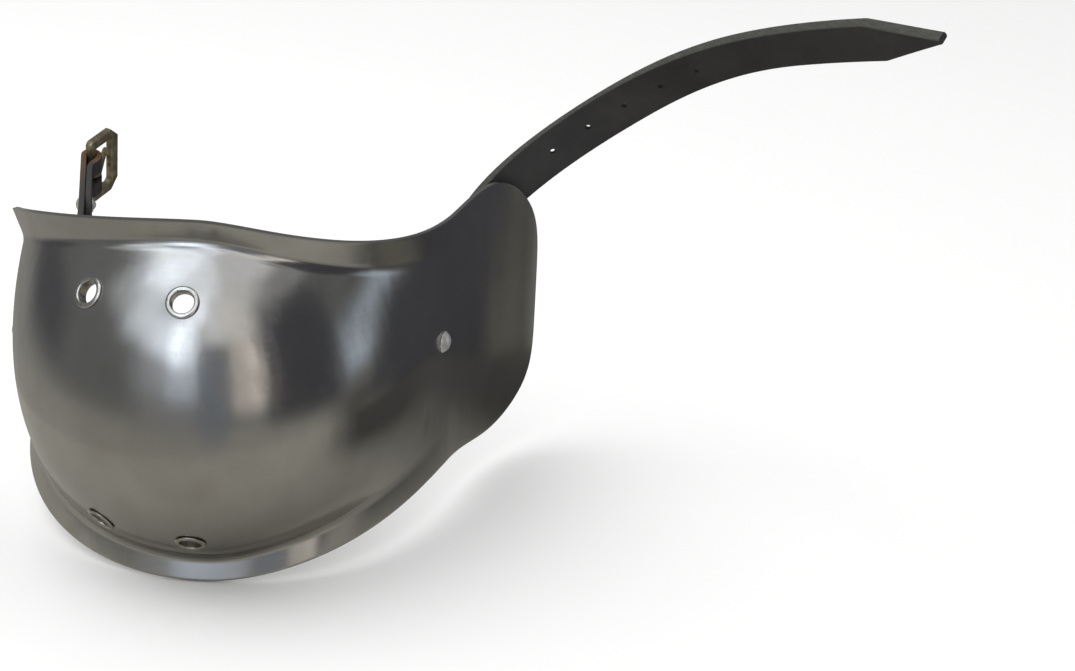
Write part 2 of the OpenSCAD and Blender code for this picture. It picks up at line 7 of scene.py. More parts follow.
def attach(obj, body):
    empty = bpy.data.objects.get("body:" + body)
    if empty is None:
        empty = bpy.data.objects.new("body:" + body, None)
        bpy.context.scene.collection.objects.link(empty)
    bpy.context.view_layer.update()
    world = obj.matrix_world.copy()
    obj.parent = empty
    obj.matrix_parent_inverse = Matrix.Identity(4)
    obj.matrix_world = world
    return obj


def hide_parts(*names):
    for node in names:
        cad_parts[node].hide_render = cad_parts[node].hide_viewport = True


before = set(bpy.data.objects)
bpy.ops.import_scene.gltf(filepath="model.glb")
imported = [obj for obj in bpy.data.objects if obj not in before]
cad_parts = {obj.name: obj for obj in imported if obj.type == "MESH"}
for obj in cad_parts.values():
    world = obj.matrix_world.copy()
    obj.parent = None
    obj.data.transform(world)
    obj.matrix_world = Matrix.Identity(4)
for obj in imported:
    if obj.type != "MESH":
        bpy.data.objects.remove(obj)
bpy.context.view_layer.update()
mm = 0.001


# helpers for modelling

def clearSelection():
    if bpy.context.mode != "OBJECT":
        bpy.ops.object.mode_set(mode="OBJECT")
    bpy.ops.object.select_all(action="DESELECT")


def takeOnly(piece):
    clearSelection()
    piece.select_set(True)
    bpy.context.view_layer.objects.active = piece


def namePiece(name):
    piece = bpy.context.active_object
    piece.name = name
    piece.data.name = name
    return piece


def applied(piece, kind, **settings):
    takeOnly(piece)
    modifier = piece.modifiers.new(kind.lower(), kind)
    for key, value in settings.items():
        setattr(modifier, key, value)
    bpy.ops.object.modifier_apply(modifier=modifier.name)
    return piece


def settle(piece, place=None):
    takeOnly(piece)
    if place is not None:
        piece.matrix_world = place
    bpy.ops.object.transform_apply(location=True, rotation=True, scale=True)
    return piece


def tidyMesh(piece, distance, angle):
    takeOnly(piece)
    bpy.ops.object.mode_set(mode="EDIT")
    bpy.ops.mesh.select_all(action="SELECT")
    bpy.ops.mesh.remove_doubles(threshold=distance)
    bpy.ops.mesh.normals_make_consistent(inside=False)
    bpy.ops.object.mode_set(mode="OBJECT")
    bpy.ops.object.shade_smooth_by_angle(angle=angle)
    return piece


def copyOf(piece, name):
    twin = piece.copy()
    twin.data = piece.data.copy()
    twin.name = name
    twin.data.name = name
    bpy.context.scene.collection.objects.link(twin)
    return twin


def cutWith(piece, cutter, operation="DIFFERENCE"):
    applied(piece, "BOOLEAN", operation=operation, object=cutter, solver="EXACT")
    bpy.data.objects.remove(cutter)
    return piece


def frameMatrix(place, x, y, z):
    columns = Matrix((x, y, z)).transposed().to_4x4()
    return Matrix.Translation(Vector(place)) @ columns


# the sheet's shape, in millimetres along the sheet and up it

sheet = {
    "thickness": 1.4,
    "buckleEnd": 125.0,
    "wingEnd": 171.6,
    "halfEnd": 35.3,
    "halfPoint": 57.3,
    "halfWaist": 42.6,
    "halfWing": 45.6,
    "waistAt": 116.6,
    "wingAt": 153.6,
    "wingRound": 48.0,
    "endRound": 7.0,
    "endPower": 2.32,
    "bendAt": (-125.0, -70.0, 0.0, 60.0, 110.0, 171.6),
    "bend": (2.9, 6.5, 11.4, 7.6, -1.0, -10.0),   # degrees in 10 mm
    "bowlDepth": 27.2,
    "bowlEndDepth": 3.0,
    "bowlHalf": 50.0,
    "bowlEndHalf": 25.0,
    "bowlWingHalf": 32.3,
    "bowlLength": 120.6,
    "lean": 17.3,
    "leanFrom": 30.0,
    "creaseHalf": 2.0,
    "endCorner": 0.14,
    "wingCorner": 0.17,
    "least": 0.02,   # of depth and blend, where the sheet runs flat
    "shift": (-69.064, -89.1139, 57.713),
    "edgeRound": 0.45,
    "eyeletHole": 3.75,
    "eyeletCut": 16.0,
    "rivetHole": 1.65,
    "rivetCut": 9.0,
    "endColumns": 9,
    "middleColumns": 170,
    "wingColumns": 46,
    "bowlRows": 34,
    "creaseRows": 14,
    "flangeRows": 7,
}

pathCount = 6000
pathS = np.linspace(-sheet["buckleEnd"], sheet["wingEnd"], pathCount + 1)
pathStep = pathS[1] - pathS[0]
shift = np.array(sheet["shift"])


def runningSum(rate):
    # the sum of a rate along the path, zero at the elbow point
    total = np.concatenate([[0], np.cumsum((rate[1:] + rate[:-1]) / 2 * pathStep)])
    return total - np.interp(0, pathS, total)


pathTurn = runningSum(np.radians(np.interp(pathS, sheet["bendAt"], sheet["bend"]) / 10))
pathX = runningSum(np.cos(pathTurn))
pathY = runningSum(np.sin(pathTurn))


def ease(t):
    return (1 - np.cos(np.pi * np.clip(t, 0, 1))) / 2


def towardsEnd(s):
    return np.clip(-s / sheet["buckleEnd"], 0, 1) ** sheet["endPower"]


def rimHalf(s):
    point, waistHalf, waistAt = sheet["halfPoint"], sheet["halfWaist"], sheet["waistAt"]
    left = point - (point - sheet["halfEnd"]) * towardsEnd(s)
    waist = point - (point - waistHalf) * ease(s / waistAt)
    wing = waistHalf + (sheet["halfWing"] - waistHalf) * ease((s - waistAt) / (sheet["wingAt"] - waistAt))
    return np.where(s < 0, left, np.where(s < waistAt, waist, wing))


def creaseHalf(s):
    left = sheet["bowlHalf"] - (sheet["bowlHalf"] - sheet["bowlEndHalf"]) * towardsEnd(s)
    right = sheet["bowlHalf"] - (sheet["bowlHalf"] - sheet["bowlWingHalf"]) * ease(s / sheet["bowlLength"])
    return np.where(s < 0, left, right)


def bowlDepth(s):
    deep, endDepth = sheet["bowlDepth"], sheet["bowlEndDepth"]
    left = endDepth + (deep - endDepth) * (1 - ease(-s / sheet["buckleEnd"]))
    right = deep * (1 - ease(s / sheet["bowlLength"]))
    return np.maximum(sheet["least"], np.where(s < 0, left, right))


def planOut(s):
    turn = np.interp(s, pathS, pathTurn)
    return np.stack([np.sin(turn), -np.cos(turn), 0 * turn], -1)


def planAlong(s):
    turn = np.interp(s, pathS, pathTurn)
    return np.stack([np.cos(turn), np.sin(turn), 0 * turn], -1)


def outerFace(s, z):
    # the bowl's arc and the flange's straight line, blended at the crease
    s, z = np.broadcast_arrays(np.asarray(s, float), np.asarray(z, float))
    depth = bowlDepth(s)
    crease = creaseHalf(s)
    radius = (crease ** 2 + depth ** 2) / (2 * depth)
    fade = ease((s - sheet["leanFrom"]) / (sheet["bowlLength"] - sheet["leanFrom"]))
    slope = math.tan(math.radians(sheet["lean"])) * (1 - fade)
    arc = radius - np.sqrt(np.maximum(0, radius ** 2 - np.minimum(np.abs(z), 0.98 * radius) ** 2))
    line = depth - slope * (np.abs(z) - crease)
    meet = crease / np.sqrt(np.maximum(1, radius ** 2 - crease ** 2)) + slope
    soft = np.maximum(sheet["least"], sheet["creaseHalf"] * meet)
    inset = np.minimum(arc, line) - (np.maximum(soft - np.abs(arc - line), 0) / soft) ** 2 * soft / 4
    flat = np.stack([np.interp(s, pathS, pathX), np.interp(s, pathS, pathY), z], -1)
    return flat - planOut(s) * inset[..., None]


def outNormal(s, z):
    step = 0.3
    across = outerFace(s + step, z) - outerFace(s - step, z)
    up = outerFace(s, z + step) - outerFace(s, z - step)
    normal = np.cross(across, up)
    return normal / np.linalg.norm(normal, axis=-1, keepdims=True)


def sheetPlace(s, z, onPlan=False):
    # a matrix whose Z leaves the sheet at a place on it, in metres
    normal = planOut(s) if onPlan else outNormal(s, z)
    x = np.cross([0, 0, 1], normal)
    x = x / np.linalg.norm(x)
    y = np.cross(normal, x)
    return frameMatrix((outerFace(s, z) + shift) * mm, x, y, normal)


# shader maths

class Wire:
    def __init__(self, tree, socket=None):
        self.tree = tree
        self.socket = socket

    def make(self, kind, settings=None, sockets=None, out=0):
        node = self.tree.nodes.new(kind)
        for key, value in (settings or {}).items():
            setattr(node, key, value)
        for key, value in (sockets or {}).items():
            if isinstance(value, Wire):
                self.tree.links.new(value.socket, node.inputs[key])
            else:
                node.inputs[key].default_value = value
        return Wire(self.tree, node.outputs[out])

    def maths(self, operation, first, second=0.0):
        return self.make("ShaderNodeMath", {"operation": operation}, {0: first, 1: second})

    def __add__(self, other):
        return self.maths("ADD", self, other)

    def __radd__(self, other):
        return self.maths("ADD", other, self)

    def __sub__(self, other):
        return self.maths("SUBTRACT", self, other)

    def __rsub__(self, other):
        return self.maths("SUBTRACT", other, self)

    def __mul__(self, other):
        return self.maths("MULTIPLY", self, other)

    def __rmul__(self, other):
        return self.maths("MULTIPLY", other, self)

    def colourMix(self, amount, first, second):
        # sockets 0, 6 and 7 are the factor and the two colours
        return self.make("ShaderNodeMix", {"data_type": "RGBA"}, {0: amount, 6: first, 7: second}, out=2)

    def smooth(self, low, high):
        return self.make("ShaderNodeMapRange", {"interpolation_type": "SMOOTHSTEP"},
                         {"Value": self, "From Min": low, "From Max": high})

    def inside(self, low, high, soft):
        return self.smooth(low - soft, low + soft) * (1 - self.smooth(high - soft, high + soft))

    def noise(self, place, scale, detail=3.0, roughness=0.5, distortion=0.0):
        return self.make("ShaderNodeTexNoise", None,
                         {"Vector": place, "Scale": scale, "Detail": detail,
                          "Roughness": roughness, "Distortion": distortion})

    def stretched(self, place, scale):
        return self.make("ShaderNodeMapping", None, {"Vector": place, "Scale": scale})


def newMaterial(name):
    material = bpy.data.materials.new(name)
    material.use_nodes = True
    tree = material.node_tree
    tree.nodes.clear()
    return material, Wire(tree)


def finishMaterial(wire, shader):
    output = wire.tree.nodes.new("ShaderNodeOutputMaterial")
    wire.tree.links.new(shader.socket, output.inputs["Surface"])


def bumpFrom(wire, height, strength, distance, normal=None):
    sockets = {"Height": height, "Strength": strength, "Distance": distance}
    if normal is not None:
        sockets["Normal"] = normal
    return wire.make("ShaderNodeBump", None, sockets)


steelLook = {
    "bright": (0.60, 0.592, 0.565, 1),
    "dull": (0.50, 0.488, 0.455, 1),
    "stain": (0.30, 0.255, 0.20, 1),
    "roughness": 0.14,
    "cloudScale": 22.0,
    "smearStretch": (26.0, 26.0, 5.0),
    "gritScale": 900.0,
    "lineStretch": (60.0, 60.0, 1500.0),
    "uprightStretch": (900.0, 900.0, 30.0),
    "speckScale": 55.0,
    "scratchStretch": (700.0, 700.0, 24.0),
    "broadScale": 34.0,
    "rippleStretch": (95.0, 95.0, 13.0),
    "wave": 0.00022,   # how deep the hammered waviness is, and the fine polishing lines
    "line": 0.00001,
}


def polishedSteel(name, look):
    material, wire = newMaterial(name)
    place = wire.make("ShaderNodeTexCoord", None, None, out="Object")
    cloud = wire.noise(place, look["cloudScale"], 5.0, 0.6)
    smear = wire.noise(wire.stretched(place, look["smearStretch"]), 3.2, 4.0, 0.55)
    grit = wire.noise(place, look["gritScale"], 2.0, 0.6)
    lines = wire.noise(wire.stretched(place, look["lineStretch"]), 1.0, 2.0, 0.7)
    uprights = wire.noise(wire.stretched(place, look["uprightStretch"]), 1.0, 2.0, 0.7)
    specks = wire.noise(place, look["speckScale"], 1.0, 0.4).smooth(0.58, 0.9)
    scratches = wire.noise(wire.stretched(place, look["scratchStretch"]), 1.0, 1.0, 0.5).smooth(0.62, 0.8)
    colour = wire.colourMix(cloud.smooth(0.3, 0.7), look["bright"], look["dull"])
    colour = wire.colourMix(specks * 0.3, colour, look["stain"])
    rough = look["roughness"] + cloud.smooth(0.35, 0.75) * 0.07 + smear.smooth(0.4, 0.7) * 0.06
    rough = rough + (lines - 0.5) * 0.08 + (grit - 0.5) * 0.05 + scratches * 0.05 + specks * 0.05
    broad = wire.noise(place, look["broadScale"], 1.0, 0.4)
    ripple = wire.noise(wire.stretched(place, look["rippleStretch"]), 1.0, 2.0, 0.5)
    normal = bumpFrom(wire, broad + ripple * 0.5, 0.9, look["wave"])
    fine = lines * 0.5 + uprights * 0.4 + grit * 0.25
    normal = bumpFrom(wire, fine, 0.35, look["line"], normal)
    shader = wire.make("ShaderNodeBsdfPrincipled", None,
                       {"Base Color": colour, "Metallic": 1.0, "Roughness": rough, "Normal": normal})
    finishMaterial(wire, shader)
    return material


nickelLook = {
    "bright": (0.74, 0.725, 0.67, 1),
    "worn": (0.48, 0.452, 0.385, 1),
    "grime": (0.10, 0.088, 0.066, 1),
    "roughness": 0.2,
    "metallic": 1.0,
}
rivetLook = {
    "bright": (0.86, 0.845, 0.81, 1),
    "worn": (0.66, 0.645, 0.61, 1),
    "grime": (0.30, 0.28, 0.25, 1),
    "roughness": 0.28,
    "metallic": 0.75,
}
buckleLook = {
    "bright": (0.50, 0.42, 0.27, 1),
    "worn": (0.27, 0.235, 0.15, 1),
    "grime": (0.13, 0.108, 0.064, 1),
    "roughness": 0.34,
    "metallic": 0.85,
}
smallMetalGrain = {"patch": 260.0, "dirt": 520.0, "grain": 2600.0, "dents": 420.0}


def smallMetal(name, look, wear):
    # wear is how much of the surface has the worn tone instead of the bright one
    material, wire = newMaterial(name)
    place = wire.make("ShaderNodeTexCoord", None, None, out="Object")
    patch = wire.noise(place, smallMetalGrain["patch"], 4.0, 0.6).smooth(0.62 - wear * 0.4, 0.80 - wear * 0.3)
    dirt = wire.noise(place, smallMetalGrain["dirt"], 4.0, 0.7).smooth(0.52, 0.72)
    grain = wire.noise(place, smallMetalGrain["grain"], 2.0, 0.6)
    dents = wire.noise(place, smallMetalGrain["dents"], 2.0, 0.5)
    colour = wire.colourMix(patch, look["bright"], look["worn"])
    colour = wire.colourMix(dirt * 0.55, colour, look["grime"])
    rough = look["roughness"] + patch * 0.12 + dirt * 0.2 + (grain - 0.5) * 0.1
    normal = bumpFrom(wire, dents, 0.6, 0.00012)
    normal = bumpFrom(wire, grain, 0.3, 0.00002, normal)
    shader = wire.make("ShaderNodeBsdfPrincipled", None,
                       {"Base Color": colour, "Metallic": look["metallic"], "Roughness": rough, "Normal": normal})
    finishMaterial(wire, shader)
    return material


leatherLook = {
    "face": (0.022, 0.021, 0.0205, 1),
    "faceLight": (0.040, 0.038, 0.036, 1),
    "edge": (0.074, 0.077, 0.063, 1),
    "edgeDark": (0.047, 0.046, 0.041, 1),
    "edgeBrown": (0.125, 0.078, 0.038, 1),
    "edgeRed": (0.13, 0.058, 0.030, 1),
    "roughness": 0.46,
    "cellScale": 950.0,
    "creaseScale": 180.0,
    "poreScale": 2400.0,
    "cloudScale": 60.0,
    "fibreStretch": (300.0, 300.0, 2600.0),
    "rubScale": 95.0,
    "edgeSoft": 0.008,
    "wornSoft": 0.04,
}


def strapLeather(name, look, edgeBands, wornFrom=None, wornTo=None):
    # edgeBands are the stretches of the unwrapped section that are cut edges,
    # and the raw leather shows brown between wornFrom and wornTo along the strip
    material, wire = newMaterial(name)
    place = wire.make("ShaderNodeTexCoord", None, None, out="Object")
    strip = wire.make("ShaderNodeTexCoord", None, None, out="UV")
    unwrapped = wire.make("ShaderNodeSeparateXYZ", None, {0: strip}, out="Y")
    edge = None
    for low, high in edgeBands:
        band = unwrapped.inside(low, high, look["edgeSoft"])
        edge = band if edge is None else edge + band
    cells = wire.make("ShaderNodeTexVoronoi", {"feature": "DISTANCE_TO_EDGE"},
                      {"Vector": place, "Scale": look["cellScale"], "Randomness": 1.0}, out="Distance")
    creases = wire.noise(place, look["creaseScale"], 5.0, 0.62, 0.4)
    pores = wire.noise(place, look["poreScale"], 3.0, 0.65)
    cloud = wire.noise(place, look["cloudScale"], 4.0, 0.6)
    fibres = wire.noise(wire.stretched(place, look["fibreStretch"]), 1.0, 3.0, 0.7)
    rub = wire.noise(place, look["rubScale"], 4.0, 0.7).smooth(0.56, 0.74)
    colour = wire.colourMix(cloud.smooth(0.3, 0.75) * 0.6 + rub * 0.35, look["face"], look["faceLight"])
    if wornFrom is None:
        raw = wire.colourMix(fibres.smooth(0.3, 0.7), look["edge"], look["edgeDark"])
    else:
        along = wire.make("ShaderNodeSeparateXYZ", None, {0: strip}, out="X")
        worn = along.inside(wornFrom, wornTo, look["wornSoft"])
        brown = wire.colourMix(fibres.smooth(0.35, 0.65), look["edgeBrown"], look["edgeRed"])
        raw = wire.colourMix(worn, look["edgeDark"], brown)
        colour = wire.colourMix(worn * rub * 0.5, colour, look["edgeBrown"])
    colour = wire.colourMix(edge, colour, raw)
    rough = look["roughness"] + (pores - 0.5) * 0.14 + rub * 0.12 + edge * 0.22
    grain = cells.smooth(0.0, 0.00032) * 0.7 + creases * 0.9 + pores * 0.35
    height = grain * (1 - edge) + fibres * edge * 0.9
    normal = bumpFrom(wire, height, 0.55, 0.00011)
    shader = wire.make("ShaderNodeBsdfPrincipled", None,
                       {"Base Color": colour, "Roughness": rough, "Normal": normal, "Specular IOR Level": 0.42})
    finishMaterial(wire, shader)
    return material


def finishPiece(piece, body, slotName, material, *nodes):
    piece.data.materials.clear()
    piece.data.materials.append(material)
    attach(piece, body)
    if nodes:
        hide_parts(*nodes)
    return piece


steel = polishedSteel("polishedSteel", steelLook)
nickel = smallMetal("wornNickel", nickelLook, 0.25)
# a darker copy of the nickel, with more of the worn tone, for the lower eyelets and all the washers
darkerNickel = smallMetal("darkerNickelCopy", nickelLook, 0.75)
rivetSteel = smallMetal("rivetSteel", rivetLook, 0.5)
buckleBrass = smallMetal("darkBrass", buckleLook, 0.8)
print("materials made")

# the cop's sheet

eyeletPlaces = {
    "eyelet_a_top": (-39.8, 36.1),
    "eyelet_a_bottom": (-39.8, -36.1),
    "eyelet_b_top": (-1.8, 37.9),
    "eyelet_b_bottom": (-1.8, -37.9),
}
strapRivetAt = (111.5, 2.6)
chapeRivetAt = (-111.0, 0.0)


def capMap(u, v, corner):
    power = 1 / corner - 1
    return u * (1 - corner * np.abs(v) ** power), v * (1 - corner * u ** power)


def sheetRows():
    # up to 1 in the bowl, up to 2 over the crease and up to 3 in the flange, and the same below
    half = np.concatenate([
        np.linspace(0, 1, sheet["bowlRows"] + 1)[:-1],
        1 + np.linspace(0, 1, sheet["creaseRows"] + 1)[:-1],
        2 + np.linspace(0, 1, sheet["flangeRows"] + 1)])
    return np.concatenate([-half[:0:-1], half])


def sheetGrid(rows):
    columns = []
    middleFrom = -sheet["buckleEnd"] + sheet["endRound"]
    middleTo = sheet["wingEnd"] - sheet["wingRound"]
    creaseBand = sheet["creaseHalf"] * 1.4   # the fine rows reach a little past the crease

    def rowHeight(s):
        crease = creaseHalf(s)
        inner = crease - creaseBand
        upper = crease + creaseBand
        size = np.abs(rows)
        flange = upper + (rimHalf(s) - upper) * (size - 2)
        height = np.where(size < 1, inner * size, np.where(size < 2, inner + (upper - inner) * (size - 1), flange))
        return np.sign(rows) * height

    for u in np.linspace(1, 0, sheet["endColumns"] + 1)[:-1]:
        s = middleFrom - sheet["endRound"] * u
        a, b = capMap(u, rowHeight(s) / rimHalf(s), sheet["endCorner"])
        at = middleFrom - sheet["endRound"] * a
        columns.append((at, b * rimHalf(at)))
    for s in np.linspace(middleFrom, middleTo, sheet["middleColumns"] + 1):
        columns.append((np.full(len(rows), s), rowHeight(s)))
    for u in np.sin(np.linspace(0, np.pi / 2, sheet["wingColumns"] + 1))[1:]:
        s = middleTo + sheet["wingRound"] * u
        a, b = capMap(u, rowHeight(s) / rimHalf(s), sheet["wingCorner"])
        at = middleTo + sheet["wingRound"] * a
        columns.append((at, b * rimHalf(at)))
    along = np.array([c[0] for c in columns])
    up = np.array([c[1] for c in columns])
    return (outerFace(along, up) + shift) * mm


def gridPiece(name, points, closed=False):
    # a grid whose places come from points, and which may close on itself across
    count, rowCount = points.shape[:2]
    steps = rowCount if closed else rowCount - 1
    clearSelection()
    bpy.ops.mesh.primitive_grid_add(x_subdivisions=count - 1, y_subdivisions=steps, size=2, calc_uvs=True)
    piece = namePiece(name)
    flat = np.zeros(len(piece.data.vertices) * 3)
    piece.data.vertices.foreach_get("co", flat)
    flat = flat.reshape(-1, 3)
    i = np.rint((flat[:, 0] + 1) / 2 * (count - 1)).astype(int)
    j = np.rint((flat[:, 1] + 1) / 2 * steps).astype(int) % rowCount
    piece.data.vertices.foreach_set("co", points[i, j].ravel())
    piece.data.update()
    return piece


def drillSheet(piece, name, at, depth, sides, onPlan=False):
    clearSelection()
    bpy.ops.mesh.primitive_cylinder_add(vertices=sides, radius=sheet[name] * mm, depth=depth * mm)
    cutter = namePiece(name)
    settle(cutter, sheetPlace(*at, onPlan=onPlan))
    cutWith(piece, cutter)


def makeSheet():
    piece = gridPiece("couterSheet", sheetGrid(sheetRows()))
    if piece.data.polygons[len(piece.data.polygons) // 2].normal.dot(Vector((0, -1, 0))) < 0:
        takeOnly(piece)
        bpy.ops.object.mode_set(mode="EDIT")
        bpy.ops.mesh.select_all(action="SELECT")
        bpy.ops.mesh.flip_normals()
        bpy.ops.object.mode_set(mode="OBJECT")
    applied(piece, "SOLIDIFY", thickness=sheet["thickness"] * mm, offset=-1, use_even_offset=True)
    applied(piece, "BEVEL", width=sheet["edgeRound"] * mm, segments=3, limit_method="ANGLE",
            angle_limit=math.radians(60))
    for at in eyeletPlaces.values():
        drillSheet(piece, "eyeletHole", at, sheet["eyeletCut"], 64)
    for at in (strapRivetAt, chapeRivetAt):
        drillSheet(piece, "rivetHole", at, sheet["rivetCut"], 40, onPlan=True)
    takeOnly(piece)
    bpy.ops.object.shade_smooth_by_angle(angle=math.radians(32))
    return piece


couterSheet = makeSheet()
finishPiece(couterSheet, "cop", "sheet_steel", steel, "cop_shell")
print("sheet made", len(couterSheet.data.polygons))

# turned pieces: eyelets, washers, rivets and burrs

turned = {
    "steps": 56,
    # radius and height in the section, from under the flange over it, down the barrel and round the roll
    "eyelet": ((3.7, 0.03), (4.55, 0.03), (4.70, 0.10), (4.75, 0.22), (4.68, 0.38), (4.5, 0.52),
               (4.2, 0.64), (3.85, 0.70), (3.55, 0.66), (3.34, 0.52), (3.24, 0.3), (3.2, 0.0),
               (3.2, -1.2), (3.2, -2.49), (3.25, -2.74), (3.42, -2.94), (3.7, -3.02), (4.0, -2.98),
               (4.25, -2.84), (4.38, -2.64), (4.36, -2.48), (3.7, -2.46), (3.7, -1.2), (3.7, 0.03)),
    "washer": ((3.75, -2.34), (3.82, -2.4), (4.7, -2.4), (4.8, -2.32), (4.8, -2.0), (4.7, -1.91),
               (3.82, -1.91), (3.75, -1.98), (3.75, -2.34)),
}
# the gaps and the leather under the sheet, which the two big rivets clamp
clamped = {
    "strapGap": 0.3,
    "strapThick": 3.5,
    "chapeGap": 0.7,
    "chapeThick": 2.0,
    "burrGap": 0.3,
}
bigRivet = {
    "head": 3.5, "headHeight": 2.2, "shank": 1.6, "tail": 2.4, "tailHeight": 1.2, "gap": 0.05,
    "burrHole": 1.65, "burrRadius": 4.0, "burrThick": 0.8,
}
smallRivet = {
    "head": 2.5, "headHeight": 1.2, "shank": 1.1, "tail": 1.7, "tailHeight": 0.9, "gap": 0.05,
    "burrHole": 1.15, "burrRadius": 2.5, "burrThick": 0.5, "burrGap": 0.05,
}


def rivetProfile(stack, size):
    # a domed head, the shank through the stack and its burr, and the end set over the burr
    head, headHeight, tail, tailHeight = size["head"], size["headHeight"], size["tail"], size["tailHeight"]
    gap = size["gap"]
    base = -stack - size["burrThick"] - gap
    points = [(0.0, gap + headHeight)]
    ball = (head ** 2 + headHeight ** 2) / (2 * headHeight)
    for k in range(1, 10):
        r = head * math.sin(k / 10 * math.pi / 2)
        points.append((r, gap + headHeight - ball + math.sqrt(ball ** 2 - r ** 2)))
    points += [(head, gap + 0.12), (head - 0.08, gap), (size["shank"], gap), (size["shank"], base)]
    ball = (tail ** 2 + tailHeight ** 2) / (2 * tailHeight)
    points += [(tail - 0.06, base), (tail, base - 0.1)]
    for k in range(7, -1, -1):
        r = tail * math.sin(k / 8 * math.pi / 2)
        points.append((r, base - tailHeight + ball - math.sqrt(ball ** 2 - r ** 2)))
    return points


def burrProfile(stack, size):
    inner, outer = size["burrHole"], size["burrRadius"]
    low = -stack - size["burrThick"]
    return ((inner, low + 0.08), (inner + 0.08, low), (outer - 0.15, low), (outer, low + 0.15),
            (outer, -stack - 0.12), (outer - 0.12, -stack), (inner, -stack), (inner, low + 0.08))


def turnPiece(name, profile):
    clearSelection()
    bpy.ops.mesh.primitive_plane_add(size=1 * mm)
    piece = namePiece(name)
    bpy.ops.object.mode_set(mode="EDIT")
    bpy.ops.mesh.select_mode(type="VERT")
    bpy.ops.mesh.select_all(action="SELECT")
    bpy.ops.mesh.merge(type="CENTER")
    last = (profile[0][0] * mm, 0.0, profile[0][1] * mm)
    bpy.ops.transform.translate(value=last)
    for r, z in profile[1:]:
        point = (r * mm, 0.0, z * mm)
        move = tuple(b - a for a, b in zip(last, point))
        bpy.ops.mesh.extrude_vertices_move(TRANSFORM_OT_translate={"value": move})
        last = point
    bpy.ops.mesh.select_all(action="SELECT")
    bpy.ops.mesh.remove_doubles(threshold=0.000002)
    bpy.ops.mesh.select_all(action="SELECT")
    bpy.ops.mesh.spin(steps=turned["steps"], angle=2 * math.pi, center=(0, 0, 0), axis=(0, 0, 1))
    bpy.ops.object.mode_set(mode="OBJECT")
    return tidyMesh(piece, 0.000005, math.radians(50))


eyeletModel = turnPiece("eyeletModel", turned["eyelet"])
washerModel = turnPiece("washerModel", turned["washer"])
for node, at in eyeletPlaces.items():
    low = node.endswith("bottom")
    eyelet = settle(copyOf(eyeletModel, node + ".turned"), sheetPlace(*at))
    finishPiece(eyelet, "cop", "eyelet_nickel", darkerNickel if low else nickel, node)
    washerNode = node.replace("eyelet", "washer")
    washer = settle(copyOf(washerModel, washerNode + ".turned"), sheetPlace(*at))
    finishPiece(washer, "cop", "eyelet_nickel", darkerNickel, washerNode)
bpy.data.objects.remove(eyeletModel)
bpy.data.objects.remove(washerModel)


def makeRivet(name, body, place, stack, size):
    rivet = settle(turnPiece(name + ".turned", rivetProfile(stack, size)), place)
    finishPiece(rivet, body, "rivet_steel", rivetSteel, name)
    burr = settle(turnPiece(name + "_burr.turned", burrProfile(stack, size)), place)
    finishPiece(burr, body, "rivet_steel", rivetSteel, name + "_burr")


strapStack = sheet["thickness"] + clamped["strapGap"] + clamped["strapThick"] + clamped["burrGap"]
chapeStack = sheet["thickness"] + clamped["chapeGap"] + clamped["chapeThick"] + clamped["burrGap"]
makeRivet("strap_rivet", "cop", sheetPlace(*strapRivetAt, onPlan=True), strapStack, bigRivet)
makeRivet("chape_rivet", "cop", sheetPlace(*chapeRivetAt, onPlan=True), chapeStack, bigRivet)
print("eyelets and rivets made")

# strips of leather

facePoints = 5
cornerPoints = 6


def turnPair(a, b, angle):
    return math.cos(angle) * a + math.sin(angle) * b


def runStrip(start, step, bends, twists):
    place, along, out, across = start
    frames = [start]
    for bend, twist in zip(bends, twists):
        nextAlong = turnPair(along, out, bend * step)
        out = turnPair(out, -along, bend * step)
        place = place + step * (along + nextAlong) / 2
        along = nextAlong
        out, across = turnPair(out, across, twist * step), turnPair(across, -out, twist * step)
        frames.append((place, along, out, across))
    return frames


def backOff(strip, distance):
    place, along, out, across = strip
    return (place - distance * along, along, out, across)


def stripSection(width, thick, corner):
    # from the middle of the outer face round the cut edge, in (across, out)
    w, t = width / 2, thick / 2
    c = min(corner, w * 0.9, t * 0.95)
    points = []
    for a in np.linspace(0, w - c, facePoints + 1)[:-1]:
        points.append((a, t))
    for q in np.linspace(0, math.pi / 2, cornerPoints):
        points.append((w - c + c * math.sin(q), t - c + c * math.cos(q)))
    half = points + [(a, -b) for a, b in reversed(points)]
    return half + [(-a, b) for a, b in reversed(half[1:-1])]


def makeStrip(name, frames, widths, thick, corner):
    rings = []
    for (place, along, out, across), width in zip(frames, widths):
        rings.append([place + a * across + b * out for a, b in stripSection(width, thick, corner)])
    piece = gridPiece(name, (np.array(rings) + shift) * mm, closed=True)
    takeOnly(piece)
    bpy.ops.object.mode_set(mode="EDIT")
    bpy.ops.mesh.select_all(action="SELECT")
    bpy.ops.mesh.remove_doubles(threshold=0.000001)
    bpy.ops.mesh.select_all(action="DESELECT")
    bpy.ops.mesh.select_mode(type="EDGE")
    bpy.ops.mesh.select_non_manifold()
    bpy.ops.mesh.fill()
    bpy.ops.mesh.select_all(action="SELECT")
    bpy.ops.mesh.normals_make_consistent(inside=False)
    bpy.ops.object.mode_set(mode="OBJECT")
    return piece


def startStrip(place, along, out, swing):
    up = np.array([0.0, 0.0, 1.0])
    return (place, turnPair(along, up, swing), out, turnPair(up, -along, swing))


def evenly(values, count):
    return np.interp((np.arange(count) + 0.5) / count * (len(values) - 1), np.arange(len(values)), values)


def roundEnd(half, count=12):
    return np.sin(np.radians(np.linspace(0, 88, count + 1)))[1:] * half


def endWidths(offsets, half):
    return 2 * np.sqrt(np.maximum(0.5, half ** 2 - offsets ** 2))


